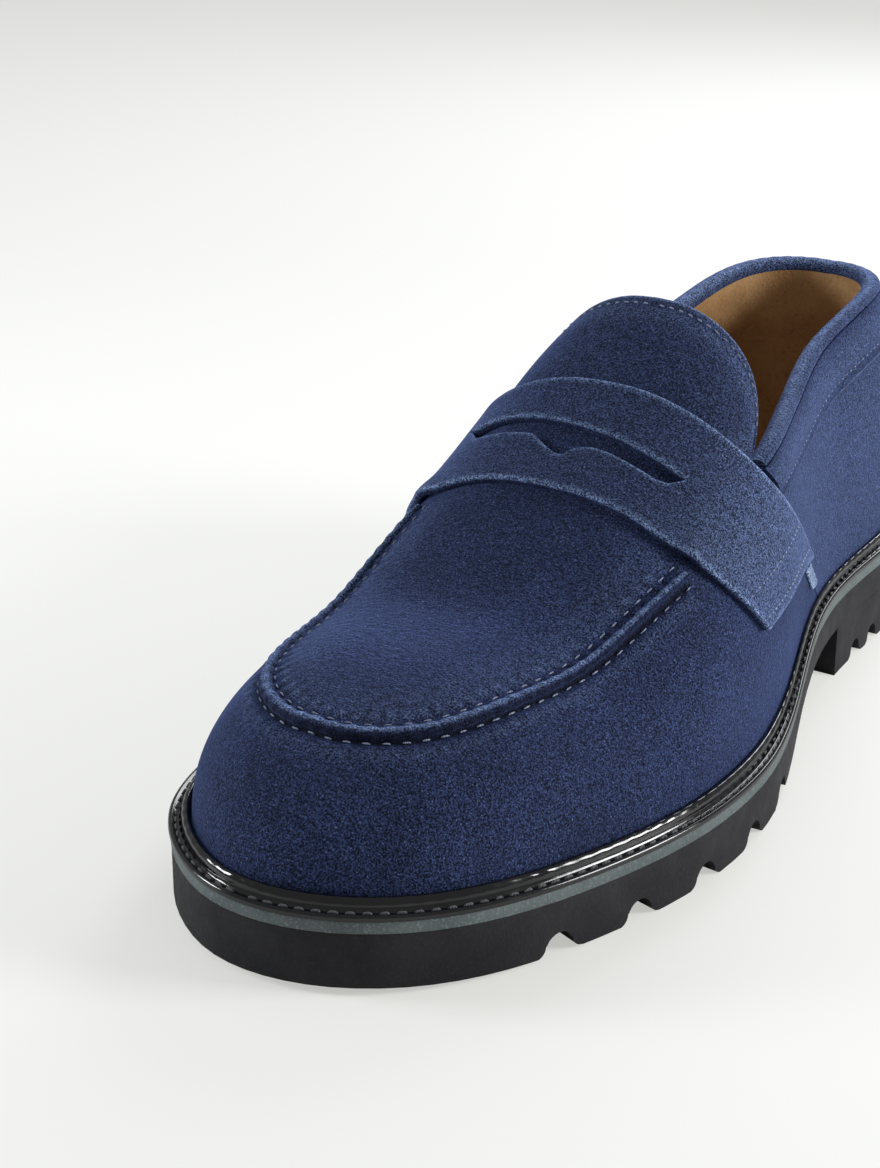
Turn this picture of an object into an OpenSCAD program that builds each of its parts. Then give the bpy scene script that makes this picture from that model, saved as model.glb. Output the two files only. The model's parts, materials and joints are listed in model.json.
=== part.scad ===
// Penny loafer with a lugged rubber sole and a storm welt, for the left foot.
// The toe points along -Y, the heel along +Y, and +X is the outer side of the foot.
// Z = 0 is the ground, and the origin is the bottom centre of the bounding box.

/* [Last] */
// Length of the line where the upper meets the sole, toe to heel, as drawn by its control points
last_length = 288.5; // [240:0.5:340]
// Breadth of that line across the ball of the foot
ball_breadth = 106; // [84:0.5:128]
// Breadth of that line across the heel
heel_breadth = 64; // [50:0.5:78]
// Height of the toe box above the insole plane
toe_height = 35.5; // [27:0.5:44]
// Height of the instep above the insole plane, at the tongue
instep_height = 93.5; // [76:0.5:114]
// Squareness of the cross sections, where 2 is an ellipse
section_power = 2.4; // [2:0.05:3]

/* [Sole] */
// Thickness of the rubber outsole under the ball
outsole_thickness = 13.5; // [10:0.25:17]
// Thickness of the rubber outsole in the waist and over the heel block
waist_thickness = 8.5; // [6:0.25:11]
// Thickness of the midsole layer
midsole_thickness = 3; // [2:0.25:4]
// Thickness of the welt at its outer lip
welt_thickness = 1.6; // [1.2:0.1:2.2]
// How far the sole edge stands out from the upper at the ball
edge_width = 5; // [3:0.25:7]
// Rise of the heel seat above the ball
heel_rise = 9.5; // [6:0.5:13]
// Lift of the toe tip off the ground
toe_spring = 2; // [0.5:0.25:5]
// Radius of the arched notches between the lugs
notch_radius = 3.8; // [2.5:0.1:4.6]
// Distance between neighbouring notches of the fore part
notch_pitch = 24.5; // [18:0.5:34]
// Distance between neighbouring notches of the heel block
heel_pitch = 12.5; // [10:0.5:17]
// Radius of the lugs' lower corners, as a share of the notch radius
lug_round = 0.75; // [0.3:0.05:1]
// Depth of the notches into the sole edge
notch_depth = 9; // [5:0.5:13]

/* [Upper] */
// Thickness of the lining leather
lining_thickness = 1.1; // [0.7:0.1:1.6]
// Thickness of the stiffeners between lining and suede
stiffener_thickness = 1; // [0.6:0.1:1.5]
// Thickness of the suede
suede_thickness = 1.9; // [1.2:0.1:2.6]
// Clearance between two plies
ply_gap = 0.1; // [0.05:0.05:0.2]
// Thickness of the penny strap
strap_thickness = 2.1; // [1.4:0.1:3]
// Length of the penny slot
slot_length = 58; // [40:1:70]
// Radius of the rolled apron seam
piping_radius = 1.7; // [1:0.1:2.4]
// Height of the collar at the heel, as a share of the section's arc
collar_share = 0.35; // [0.3:0.005:0.42]
// Width of the collar band below the top line, as a share of the section's arc
band_share = 0.095; // [0.05:0.005:0.14]
// Length of the tongue behind the strap, in outline stations
tongue_reach = 0.62; // [0.4:0.01:0.8]
// Pitch of the stitches in the uppers
stitch_pitch = 5; // [3:0.1:8]
// Pitch of the welt stitches
welt_stitch_pitch = 8; // [5:0.25:12]

/* [Hidden] */

// Levels of the plies above the last surface
lining_in = 0.15;
lining_out = lining_in + lining_thickness;
stiff_in = lining_out + ply_gap;
stiff_out = stiff_in + stiffener_thickness;
suede_in = stiff_out + ply_gap;
suede_out = suede_in + suede_thickness;
band_in = suede_out + 0.3;
band_out = band_in + 0.9;
strap_in = suede_out + 0.4;
strap_out = strap_in + strap_thickness;
seat_gap = 0.15;
welt_gap = 0.1;
welt_in = suede_out + 0.25;
z0 = outsole_thickness + midsole_thickness;

// Small helpers
function lerp(a, b, f) = a + (b - a) * f;
function clamp(x, a, b) = min(b, max(a, x));
function sstep(x) = let(u = clamp(x, 0, 1)) u * u * (3 - 2 * u);
function smax(a, b, k) = 0.5 * (a + b + sqrt((a - b) * (a - b) + k * k));
function smin(a, b, k) = 0.5 * (a + b - sqrt((a - b) * (a - b) + k * k));
function unit(v) = v / max(norm(v), 1e-9);
function spline(v, u) = let(n = len(v) - 1, x = clamp(u, 0, 1) * n, i = min(floor(x), n - 1), f = x - i,
  p1 = v[i], p2 = v[i + 1], p0 = i > 0 ? v[i - 1] : 2 * p1 - p2, p3 = i < n - 1 ? v[i + 2] : 2 * p2 - p1)
  0.5 * (2 * p1 + (p2 - p0) * f + (2 * p0 - 5 * p1 + 4 * p2 - p3) * f * f + (3 * p1 - p0 - 3 * p2 + p3) * f * f * f);

// Control stations of the outline, toe to heel: lengthwise share, outer and inner breadth
ST_Y = [-138, -120, -92, -58, -24, 8, 42, 78, 108, 134] / 288.5;
ST_L = concat([19, 36, 47, 56, 55, 48] / 106 * ball_breadth, [36, 31, 31, 25] / 64 * heel_breadth);
ST_M = concat([18, 37, 43, 50, 46, 43] / 106 * ball_breadth, [35, 33, 33, 26] / 64 * heel_breadth);
RAW = concat([[-2, -143.5 / 288.5 * last_length]],
  [for (k = [0:9]) [ST_L[k], ST_Y[k] * last_length]],
  [[0, 145 / 288.5 * last_length]],
  [for (k = [9:-1:0]) [-ST_M[k], ST_Y[k] * last_length]]);
NST = 22;
function loop(P, i) = let(x = i - floor(i / NST) * NST, j = floor(x), f = x - j, g = 1 - f,
  a = P[(j + NST - 1) % NST], b = P[j % NST], c = P[(j + 1) % NST], d = P[(j + 2) % NST])
  (g * g * g * a + (3 * f * f * f - 6 * f * f + 4) * b + (-3 * f * f * f + 3 * f * f + 3 * f + 1) * c + f * f * f * d) / 6;
function loop_side(P, i) = let(d = unit(loop(P, i + 0.01) - loop(P, i - 0.01))) [d.y, -d.x];
function mirror_i(i) = let(x = abs(i - floor(i / NST) * NST)) min(x, NST - x);
// Standing-out of the sole edge: full at the ball, less in the waist and at the heel
function edge_out(i) = let(m = mirror_i(i)) suede_out + edge_width * (1 - 0.42 * sstep((m - 4.6) / 1.8) + 0.2 * sstep((m - 7) / 2));
RAW_EDGE = [for (k = [0:219]) loop(RAW, k / 10) + edge_out(k / 10) * loop_side(RAW, k / 10)];
CX = (min([for (p = RAW_EDGE) p.x]) + max([for (p = RAW_EDGE) p.x])) / 2;
CY = (min([for (p = RAW_EDGE) p.y]) + max([for (p = RAW_EDGE) p.y])) / 2;
CT = [for (p = RAW) p - [CX, CY]];
SY = last_length / 288.5;
SX = ball_breadth / 106;
Y0 = -94 * SY - CY;
Y1 = 106 * SY - CY;
SPINE = [for (x = [-4, 0, 3, 4, 4, 2, 0, 0]) x * SX - CX];
RIDGE = [for (f = [0, 0.06, 0.328, 0.62, 1, 1.207, 1.362, 1.483]) z0 + toe_height + f * (instep_height - toe_height)];

// Top face of the midsole, which is also the bottom of the upper
function seat(y) = z0 + toe_spring * pow(clamp((-50 * SY - CY - y) / (95 * SY), 0, 1), 2)
  + heel_rise * sstep((y + 25 * SY + CY) / (90 * SY));
// The midsole's top as it is built, from its profile points
PY = [for (k = [0:44]) -165 + 7.5 * k];
SEAT_TABLE = [for (y = PY) [y, seat(y)]];
function seat_at(y) = lookup(y, SEAT_TABLE);
function tread(y) = let(f = sstep((y + 18 * SY + CY) / (42 * SY)))
  lerp(toe_spring * pow(clamp((-50 * SY - CY - y) / (95 * SY), 0, 1), 2), seat(y) - midsole_thickness - waist_thickness, f);
function ridge(y) = spline(RIDGE, (y - Y0) / (Y1 - Y0));

// A point of the last: i runs round the outline by stations, t from the outline (0) to the ridge (1)
function last(i, t) = let(F = loop(CT, i), y = smin(smax(F.y, Y0, 14), Y1, 14), u = (y - Y0) / (Y1 - Y0),
  T = [spline(SPINE, u), y], h = pow(sin(90 * t), 2 / section_power), g = 1 - pow(cos(90 * t), 2 / section_power),
  w = pow(clamp((F.y - 60) / 80, 0, 1), 2), b = sstep(F.y / 90), g2 = g + 0.25 * w * h * h * (1 - g),
  g3 = g + 0.7 * b * h * h * (1 - g), q = [F.x + (T.x - F.x) * g3, F.y + (T.y - F.y) * g2],
  top = ridge(y) + (ridge(y + 0.5) - ridge(y - 0.5)) * (q.y - y))
  [q.x, q.y, seat(F.y) * (1 - h) + top * h];
function side(i, t) = let(s = clamp(t, 0.02, 0.985)) unit(cross(last(i + 0.02, s) - last(i - 0.02, s), last(i, s + 0.01) - last(i, s - 0.01)));
// A lattice entry: the point and its outward direction
function entry(i, t) = t < 0.001 ? let(n = side(i, 0.02), p = last(i, 0)) [p + [0, 0, seat_gap], unit([n.x, n.y, 0])] : [last(i, t), side(i, t)];
function at(e, d) = e[0] + e[1] * d;
function pt(i, t, d) = at(entry(i, t), d);

// Style lines
SEAM_L = [0.667, 0.645, 0.622, 0.612, 0.6, 0.535, 0.5, 0.48];
SEAM_M = [0.667, 0.648, 0.615, 0.57, 0.558, 0.575, 0.53, 0.5];
function seam(i) = spline(i < 0 ? SEAM_M : SEAM_L, abs(i) / 7);
function break_line(t) = 5.68 + 1.62 * pow(1 - t, 3.5);
TOP = [0.66, 0.468, 0.375, 0.366, 0.366, 0.358, 0.35];
function topline(m) = spline(TOP, (m - 5) / 6) * collar_share / 0.35;
function strap_front(t) = 4.78 + 2.1 * pow(max(0, 0.72 - t), 2);

// Fore part lattice: columns a round the toe, rows b up to the apron seam and on to the ridge
NA = 48;
NV = 8;
NP = 6;
function fore_i(r, t) = r * break_line(t);
function fore_t(r, v) = let(i1 = r * 5.9, s = seam(r * break_line(seam(i1)))) v <= 1 ? s * (1 - pow(1 - v, 1.25)) : s + (1 - s) * (v - 1);
FORE = [for (a = [0:NA]) let(r = 2 * a / NA - 1) [for (b = [0:NV + NP])
  let(v = b <= NV ? b / NV : 1 + (b - NV) / NP, t = fore_t(r, v)) entry(fore_i(r, t), t)]];

// Back part lattice: columns from the outer side round the heel to the inner side, rows up to the top line
NB = 48;
NH = 8;
function back_front(v) = let(k0 = break_line(v * 0.46), k1 = break_line(v * topline(k0)), k2 = break_line(v * topline(k1))) k2 + 0.014;
function back_i(u, v) = let(m = 11 - abs(u) * (11 - back_front(v))) u < 0 ? m : 22 - m;
BACK = [for (a = [0:NB]) let(u = 2 * a / NB - 1) [for (b = [0:NH])
  let(v = 1 - pow(1 - b / NH, 1.15), i = back_i(u, v)) entry(i, v * topline(mirror_i(i)))]];

function flat(M) = [for (c = M) each c];
// A closed shell between two levels of a lattice block; fold joins the last row of mirrored columns
module shell(L, a0, a1, b0, b1, d0, d1, fold = false) {
  n = a1 - a0 + 1;
  m = b1 - b0 + 1;
  P = concat([for (a = [a0:a1]) for (b = [b0:b1]) at(L[fold && b == b1 ? max(a, a1 - (a - a0)) : a][b], d1)],
    [for (a = [a0:a1]) for (b = [b0:b1]) at(L[fold && b == b1 ? max(a, a1 - (a - a0)) : a][b], d0)]);
  skin(P, n, m, fold);
}
// ha, hb and hc leave out the cells of row ha from column hb to hc, with walls round the gap
module skin(P, n, m, fold = false, ha = -1, hb = 0, hc = 0) {
  K = n * m;
  function o(a, b) = (fold && b == m - 1 ? max(a, n - 1 - a) : a) * m + b;
  F = concat(
    [for (a = [0:n - 2]) for (b = [0:m - 2]) if (a != ha || b < hb || b >= hc) each [
      [o(a, b), o(a, b + 1), o(a + 1, b + 1)], [o(a, b), o(a + 1, b + 1), o(a + 1, b)],
      [K + o(a, b), K + o(a + 1, b + 1), K + o(a, b + 1)], [K + o(a, b), K + o(a + 1, b), K + o(a + 1, b + 1)]]],
    [for (a = [0:n - 2]) each [[o(a, 0), o(a + 1, 0), K + o(a + 1, 0)], [o(a, 0), K + o(a + 1, 0), K + o(a, 0)]]],
    fold ? [] : [for (a = [0:n - 2]) each [[o(a + 1, m - 1), o(a, m - 1), K + o(a, m - 1)], [o(a + 1, m - 1), K + o(a, m - 1), K + o(a + 1, m - 1)]]],
    [for (b = [0:m - 2]) each [[o(0, b + 1), o(0, b), K + o(0, b)], [o(0, b + 1), K + o(0, b), K + o(0, b + 1)],
      [o(n - 1, b), o(n - 1, b + 1), K + o(n - 1, b + 1)], [o(n - 1, b), K + o(n - 1, b + 1), K + o(n - 1, b)]]]);
  H = ha < 0 ? [] : concat(
    [for (b = [hb:hc - 1]) each [[o(ha, b), o(ha, b + 1), K + o(ha, b + 1)], [o(ha, b), K + o(ha, b + 1), K + o(ha, b)],
      [o(ha + 1, b + 1), o(ha + 1, b), K + o(ha + 1, b)], [o(ha + 1, b + 1), K + o(ha + 1, b), K + o(ha + 1, b + 1)]]],
    [[o(ha + 1, hb), o(ha, hb), K + o(ha, hb)], [o(ha + 1, hb), K + o(ha, hb), K + o(ha + 1, hb)],
      [o(ha, hc), o(ha + 1, hc), K + o(ha + 1, hc)], [o(ha, hc), K + o(ha + 1, hc), K + o(ha, hc)]]);
  G = [for (f = concat(F, H)) if (f[0] != f[1] && f[1] != f[2] && f[2] != f[0]) f];
  polyhedron(P, G, convexity = 8);
}
// A free lattice block given as two matching point grids
module slab(A, B) {
  skin(concat(flat(A), flat(B)), len(A), len(A[0]));
}
// A bar along a path: S is a list of sections, each a ring of points
module bar(S, closed = false) {
  n = len(S);
  m = len(S[0]);
  F = concat([for (a = [0:(closed ? n - 1 : n - 2)]) for (c = [0:m - 1]) let(p = a * m + c, q = a * m + (c + 1) % m,
      r = ((a + 1) % n) * m + (c + 1) % m, s = ((a + 1) % n) * m + c) each [[p, q, r], [p, r, s]]],
    closed ? [] : [for (c = [1:m - 2]) [0, c + 1, c]],
    closed ? [] : [for (c = [1:m - 2]) let(z = (n - 1) * m) [z, z + c, z + c + 1]]);
  polyhedron([for (s = S) each s], F, convexity = 8);
}
// Equal steps along a path of [i, t] entries at one level
function sums(C) = [for (k = 0, s = 0; k < len(C); s = s + (k + 1 < len(C) ? norm(C[k + 1] - C[k]) : 0), k = k + 1) s];
function pick(S, x, k = 0) = k >= len(S) - 2 || S[k + 1] >= x ? k : pick(S, x, k + 1);
function even(Q, d, pitch) = let(C = [for (q = Q) pt(q[0], q[1], d)], S = sums(C), L = S[len(S) - 1], n = max(2, round(L / pitch)))
  [for (j = [0:n - 1]) let(x = (j + 0.5) * L / n, k = pick(S, x), f = (x - S[k]) / max(1e-6, S[k + 1] - S[k])) lerp(Q[k], Q[k + 1], f)];
// Stitches: one small bar for each step, lying along the path between levels d0 and d1
module stitches(Q, pitch, long, wide, d0, d1) {
  E = even(Q, d0, pitch);
  n = len(E);
  B = [for (j = [0:n - 1]) let(e = entry(E[j][0], E[j][1]),
      T0 = unit(pt(E[min(n - 1, j + 1)][0], E[min(n - 1, j + 1)][1], 0) - pt(E[max(0, j - 1)][0], E[max(0, j - 1)][1], 0)),
      N = e[1], W = unit(cross(T0, N)), T = cross(N, W), c0 = at(e, d0), c1 = at(e, d1))
    each [c0 - T * long / 2 + W * wide / 2, c1 - T * long / 2 * 0.8 + W * wide * 0.35, c1 - T * long / 2 * 0.8 - W * wide * 0.35, c0 - T * long / 2 - W * wide / 2,
      c0 + T * long / 2 + W * wide / 2, c1 + T * long / 2 * 0.8 + W * wide * 0.35, c1 + T * long / 2 * 0.8 - W * wide * 0.35, c0 + T * long / 2 - W * wide / 2]];
  polyhedron(B, [for (j = [0:n - 1]) each [for (f = [[0, 1, 5], [0, 5, 4], [1, 2, 6], [1, 6, 5], [2, 3, 7], [2, 7, 6], [3, 0, 4], [3, 4, 7],
      [0, 3, 2], [0, 2, 1], [4, 5, 6], [4, 6, 7]]) f + [1, 1, 1] * 8 * j]], convexity = 4);
}

// Plan outlines of the sole
function rim(d, k0 = 0, k1 = 109) = [for (k = [k0:k1]) loop(CT, k / 5) + d * loop_side(CT, k / 5)];
function rim_edge(less = 0) = [for (k = [0:109]) loop(CT, k / 5) + (edge_out(k / 5) - less) * loop_side(CT, k / 5)];
// A plate with the given plan outline, between two profile lines
module plate(outline, low, high) {
  intersection() {
    translate([0, 0, -4]) linear_extrude(70) polygon(outline);
    rotate([90, 0, 90]) translate([0, 0, -90]) linear_extrude(180)
      polygon(concat([for (k = [0:len(PY) - 1]) [PY[k], low[k]]], [for (k = [len(PY) - 1:-1:0]) [PY[k], high[k]]]));
  }
}
function seat_line(dz) = [for (y = PY) seat(y) + dz];
TREAD = [for (y = PY) tread(y)];
NAILS = [for (p = [[-13, 96], [13, 96], [-15, 118], [15, 118], [0, 132]]) [p.x * heel_breadth / 64 - CX * 0.3, p.y * SY - CY]];
module nail_holes(r) {
  for (p = NAILS) translate([p.x, p.y, 4]) cylinder(h = 50, r = r, $fn = 24);
}
BREAST = 66 * SY - CY;
module heel_plan() {
  difference() {
    translate([-60, BREAST, -1]) cube([120, 140, 60]);
    translate([0, BREAST - 64, -2]) cylinder(h = 62, r = 70, $fn = 96);
  }
}
// An arch over two rounded lug corners of radius f
module notch_shape(r, tall, f) {
  translate([0, tall]) circle(r = r, $fn = 24);
  translate([-r, -3]) square([2 * r, tall + 3]);
  difference() {
    translate([-r - f, -3]) square([2 * (r + f), f + 3]);
    for (s = [-1, 1]) translate([s * (r + f), f]) circle(r = f, $fn = 32);
  }
}
// Arched notches cut into the edge at station i
module notch(i, depth, r, tall) {
  p = loop(CT, i) + edge_out(i) * loop_side(CT, i);
  n = loop_side(CT, i);
  translate([p.x, p.y, tread(p.y) < 4 ? tread(p.y) : 0]) rotate([0, 0, atan2(n.y, n.x)]) {
    translate([-depth, 0, 0]) rotate([90, 0, 90]) linear_extrude(depth + 6) notch_shape(r, tall, r * lug_round);
  }
}
function rim_steps(i0, i1, pitch) = let(Q = [for (k = [0:40]) lerp(i0, i1, k / 40)],
  C = [for (i = Q) loop(CT, i) + edge_out(i) * loop_side(CT, i)], S = sums(C), L = S[40], n = max(2, round(L / pitch)))
  [for (j = [0:n - 1]) let(x = (j + 0.5) * L / n, k = pick(S, x)) lerp(Q[k], Q[k + 1], (x - S[k]) / max(1e-6, S[k + 1] - S[k]))];
FORE_NOTCH = concat(rim_steps(2.25, 5.75, notch_pitch), rim_steps(16.25, 19.75, notch_pitch));
HEEL_NOTCH = rim_steps(7.95, 14.05, heel_pitch);

module outsole() color([0.13, 0.13, 0.14]) difference() {
  plate(rim_edge(0.2), TREAD, seat_line(-midsole_thickness));
  for (i = FORE_NOTCH) notch(i, notch_depth, notch_radius, 1.5);
  for (k = [0:4]) translate([0, (-100 + 17 * k) * SY - CY, -1]) rotate([0, 0, 45]) {
    translate([-1.5, -1.5, 0]) cube([24, 3, 5]);
    translate([-1.5, -1.5, 0]) cube([3, 24, 5]);
  }
  nail_holes(1.1);
}
module heel_block() color([0.12, 0.12, 0.13]) difference() {
  intersection() {
    plate(rim_edge(0.2), [for (y = PY) 0], TREAD);
    heel_plan();
  }
  for (i = HEEL_NOTCH) notch(i, notch_depth * 0.75, notch_radius * 0.8, 2);
  nail_holes(1.1);
}
module heel_nails() color([0.75, 0.72, 0.6]) for (p = NAILS) {
  top = z0 + heel_rise + 3.5;
  translate([p.x, p.y, 8]) cylinder(h = top - 8.4, r = 0.95, $fn = 24);
  translate([p.x, p.y, top - 1]) cylinder(h = 0.7, r = 2.2, $fn = 24);
  translate([p.x, p.y, top - 1.6]) cylinder(h = 0.7, r1 = 0.95, r2 = 2.2, $fn = 24);
}
module midsole() color([0.33, 0.37, 0.38]) difference() {
  plate(rim_edge(0), seat_line(-midsole_thickness), seat_line(0));
  nail_holes(1.1);
}
// Welt: a flat strip with a stitch channel, a thin lip at its edge and a bead against the upper
function welt_section(i) = let(n = loop_side(CT, i), f = loop(CT, i), w = edge_out(i) - welt_in,
  S = [[0, 0], [w, 0], [w + 0.4, 0.5], [w + 0.4, welt_thickness * 0.7], [w - 0.1, welt_thickness], [w - 0.8, welt_thickness * 0.9], [w * 0.52, welt_thickness * 0.6],
    [w * 0.46, welt_thickness + 1.3], [w * 0.3, welt_thickness + 2.4], [w * 0.12, welt_thickness + 2.4], [0, welt_thickness + 1.4]])
  [for (s = S) let(p = f + (welt_in + s[0]) * n) [p.x, p.y, seat_at(p.y) + welt_gap + s[1]]];
module welt() color([0.05, 0.05, 0.06]) bar([for (k = [0:87]) welt_section(k / 4)], true);
module welt_stitching() color([0.32, 0.33, 0.35]) {
  E = rim_steps(0.02, 21.98, welt_stitch_pitch);
  for (s = [1]) polyhedron([for (i = E) let(n = loop_side(CT, i), f = loop(CT, i), w = edge_out(i) - welt_in, t = [-n.y, n.x],
      p = f + (welt_in + w * 0.72) * n)
      each [for (c = [[-2.2, 0.45, 0], [-1.6, 0.3, 0.7], [-1.6, -0.3, 0.7], [-2.2, -0.45, 0], [2.2, 0.45, 0], [1.6, 0.3, 0.7], [1.6, -0.3, 0.7], [2.2, -0.45, 0]])
        let(q = p + t * c[0] + n * c[1]) [q.x, q.y, seat_at(q.y) + welt_thickness * 0.76 + welt_gap + 0.45 + c[2]]]],
    [for (j = [0:len(E) - 1]) each [for (f = [[0, 1, 5], [0, 5, 4], [1, 2, 6], [1, 6, 5], [2, 3, 7], [2, 7, 6], [3, 0, 4], [3, 4, 7],
      [0, 3, 2], [0, 2, 1], [4, 5, 6], [4, 6, 7]]) f + [1, 1, 1] * 8 * j]], convexity = 4);
}
module shank_plan(grow) {
  translate([-7 - grow - CX, -22 * SY - CY - grow, 0]) cube([14 + 2 * grow, 108 * SY + 2 * grow, 60]);
}
module cork_filler() color([0.68, 0.5, 0.32]) difference() {
  plate(rim(-0.6), seat_line(0), seat_line(1.6));
  shank_plan(0.2);
  nail_holes(1.1);
}
module shank() color([0.6, 0.61, 0.63]) intersection() {
  plate(rim(-2), seat_line(0.1), seat_line(1.5));
  shank_plan(0);
}
module insole() color([0.78, 0.62, 0.44]) difference() {
  plate(rim(-0.6), seat_line(1.6), seat_line(4));
  nail_holes(2.4);
}
module heel_pad() color([0.82, 0.72, 0.56]) intersection() {
  plate(rim(-3.5), seat_line(4), seat_line(5.6));
  translate([-CX, 104 * SY - CY, 0]) scale([1, 1.35, 1]) cylinder(h = 60, r = 25 * heel_breadth / 64, $fn = 64);
}
module sock_liner() color([0.72, 0.52, 0.32]) difference() {
  plate(rim(-0.6), seat_line(4), seat_line(6.4));
  intersection() {
    plate(rim(-3.4), seat_line(3), seat_line(5.65));
    translate([-CX, 104 * SY - CY, 0]) scale([1, 1.35, 1]) cylinder(h = 60, r = 25 * heel_breadth / 64 + 0.1, $fn = 64);
  }
}

AM = NA / 2;
AT = 11;
module toe_puff() color([0.85, 0.83, 0.78]) shell(FORE, AM - AT, AM + AT, 0, NV + 2, stiff_in, stiff_out);
module interlining() color([0.88, 0.86, 0.8]) {
  shell(FORE, 0, AM - AT - 1, 0, NV, stiff_in, stiff_out);
  shell(FORE, AM + AT + 1, NA, 0, NV, stiff_in, stiff_out);
  shell(BACK, 0, 15, 0, NH - 1, stiff_in, stiff_out);
  shell(BACK, NB - 15, NB, 0, NH - 1, stiff_in, stiff_out);
}
module heel_counter() color([0.7, 0.6, 0.48]) shell(BACK, 16, NB - 16, 0, NH - 2, stiff_in, stiff_out);
module vamp() color([0.12, 0.15, 0.27]) shell(FORE, 0, NA, 0, NV, suede_in, suede_out);
module apron() color([0.13, 0.16, 0.28]) shell(FORE, 0, NA, NV, NV + NP, suede_in, suede_out, true);
module vamp_lining() color([0.76, 0.55, 0.35]) shell(FORE, 0, NA, 0, NV + NP, lining_in, lining_out, true);
module quarter_lateral() color([0.12, 0.15, 0.27]) shell(BACK, 0, NB / 2, 0, NH, suede_in, suede_out);
module quarter_medial() color([0.12, 0.15, 0.27]) shell(BACK, NB / 2, NB, 0, NH, suede_in, suede_out);
module quarter_lining() color([0.76, 0.55, 0.35]) shell(BACK, 0, NB, 0, NH, lining_in, lining_out);

SEAM_PATH = [for (k = [-27:27]) let(i = k / 27 * 4.76) [i, seam(i)]];
function half_round(Q, d, r, h) = [for (k = [0:len(Q) - 1]) let(e = entry(Q[k][0], Q[k][1]), q0 = Q[max(0, k - 1)], q1 = Q[min(len(Q) - 1, k + 1)],
    T = unit(pt(q1[0], q1[1], d) - pt(q0[0], q0[1], d)), W = unit(cross(T, e[1])), c = at(e, d))
  [for (a = [0:30:180]) c + W * r * cos(a) + e[1] * h * sin(a)]];
module apron_piping() color([0.2, 0.24, 0.38]) bar(half_round(SEAM_PATH, suede_out + 0.12, piping_radius, piping_radius * 1.15));
module apron_stitching() color([0.45, 0.5, 0.62]) {
  stitches([for (q = SEAM_PATH) [q[0], q[1] + 0.052]], stitch_pitch, stitch_pitch * 0.6, 0.8, suede_out + 0.15, suede_out + 0.6);
  stitches([for (q = SEAM_PATH) [q[0], q[1] - 0.047]], stitch_pitch, stitch_pitch * 0.5, 0.8, suede_out + 0.15, suede_out + 0.6);
}
// Folded front edges of the quarters, from under the strap down to the welt
function edge_rows(s, d) = [for (r = [0:2]) [for (k = [0:9]) let(t = lerp(0.045, strap_end(1) - 0.011, k / 9), m = break_line(t) - 0.1 + 0.075 * r,
  i = s > 0 ? m : 22 - m) pt(i, t, d)]];
module quarter_edge_lateral() color([0.25, 0.29, 0.42]) slab(edge_rows(1, band_out), edge_rows(1, band_in));
module quarter_edge_medial() color([0.25, 0.29, 0.42]) slab([for (r = [2:-1:0]) edge_rows(-1, band_out)[r]], [for (r = [2:-1:0]) edge_rows(-1, band_in)[r]]);
// Collar band and its stitching, from the strap round the heel
NC = 52;
function collar_m(u) = 11 - abs(u) * (11 - 6.0);
function collar_row(b) = let(T0 = topline(6.03) - 0.004 - band_share * (1 - b / 3)) break_line(T0) + 0.075;
function collar_grid(d) = [for (a = [0:NC]) let(u = 2 * a / NC - 1)
  [for (b = [0:3]) let(m = 11 - abs(u) * (11 - collar_row(b)), i = u < 0 ? m : 22 - m) pt(i, topline(m) - 0.004 - band_share * (1 - b / 3), d)]];
module collar_band() color([0.15, 0.18, 0.31]) slab(collar_grid(band_out), collar_grid(band_in));
function collar_path(drop) = [for (a = [2:NC - 2]) let(u = 2 * a / NC - 1, m = collar_m(u)) [u < 0 ? m : 22 - m, topline(m) - drop]];
module collar_stitching() color([0.45, 0.5, 0.62])
  stitches(collar_path(band_share - 0.016), stitch_pitch, stitch_pitch * 0.55, 0.8, band_out + 0.15, band_out + 0.6);
// Rolled binding over the top edges of quarters and lining
BIND = [for (a = [0:NC]) let(u = 2 * a / NC - 1, m = 11 - abs(u) * (11 - 5.96)) [u < 0 ? m : 22 - m, topline(m)]];
module topline_binding() color([0.16, 0.19, 0.32]) bar([for (k = [0:NC]) let(q = BIND[k], e = entry(q[0], q[1] + 0.001),
    q0 = BIND[max(0, k - 1)], q1 = BIND[min(NC, k + 1)], T = unit(pt(q1[0], q1[1], 2) - pt(q0[0], q0[1], 2)), W = unit(cross(e[1], T)),
    U = W.z < 0 ? -W : W, c = at(e, (lining_in + band_out) / 2) + U * 0.35, h = (band_out - lining_in) / 2 + 0.1)
  [for (a = [0:30:180]) c + e[1] * h * cos(a) + U * 2.3 * sin(a)]]);
module back_strip() color([0.14, 0.17, 0.3]) slab(
  [for (r = [-2:2]) [for (k = [0:8]) pt(11 + r * 0.17, lerp(0.05, 0.35 * collar_share / 0.35 - band_share - 0.012, k / 8), band_out)]],
  [for (r = [-2:2]) [for (k = [0:8]) pt(11 + r * 0.17, lerp(0.05, 0.35 * collar_share / 0.35 - band_share - 0.012, k / 8), band_in)]]);

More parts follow.
